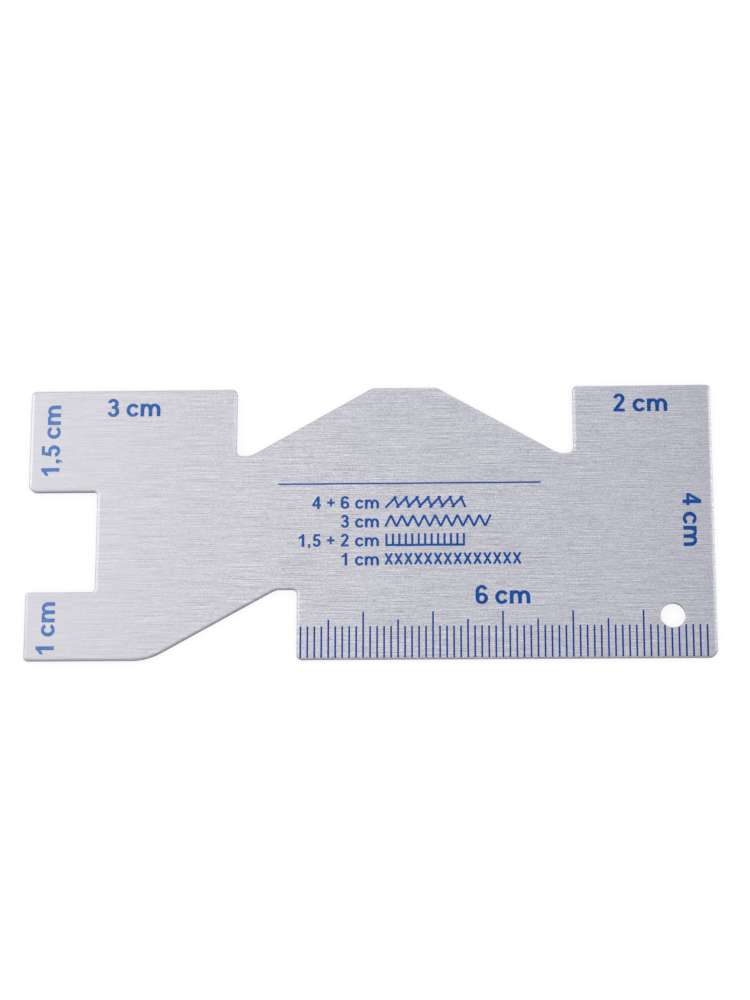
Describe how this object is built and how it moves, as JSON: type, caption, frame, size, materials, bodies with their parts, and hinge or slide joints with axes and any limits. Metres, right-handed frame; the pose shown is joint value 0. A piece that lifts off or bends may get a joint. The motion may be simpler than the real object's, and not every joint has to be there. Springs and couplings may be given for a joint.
{
  "type": "sewing gauge",
  "caption": "Flat notched metal gauge for measuring and marking hem and seam widths, with printed sizes, a millimetre scale and a hanging hole.",
  "frame": {"origin": "middle of the outline's bounding box, on the back face", "axes": "+X along the length towards the end with the hanging hole, +Y towards the edge with the two slots, +Z out of the printed face"},
  "size_m": [0.0994, 0.04, 0.001],
  "materials": {
    "brushed_aluminium": "brushed along the length, clear satin",
    "printed_ink": "screen-printed blue ink, satin"
  },
  "bodies": {
    "root": {"gauge_plate": "brushed_aluminium", "millimetre_marks": "printed_ink", "five_millimetre_marks": "printed_ink", "centimetre_marks": "printed_ink", "size_3cm": "printed_ink", "size_2cm": "printed_ink", "size_6cm": "printed_ink", "size_1_5cm": "printed_ink", "size_1cm": "printed_ink", "size_4cm": "printed_ink", "legend_rule": "printed_ink", "legend_row_1": "printed_ink", "legend_row_2": "printed_ink", "legend_row_3": "printed_ink", "legend_row_4": "printed_ink", "hem_sign": "printed_ink", "seam_sign": "printed_ink", "shoulder_sign": "printed_ink", "armhole_sign": "printed_ink"}
  },
  "joints": []
}
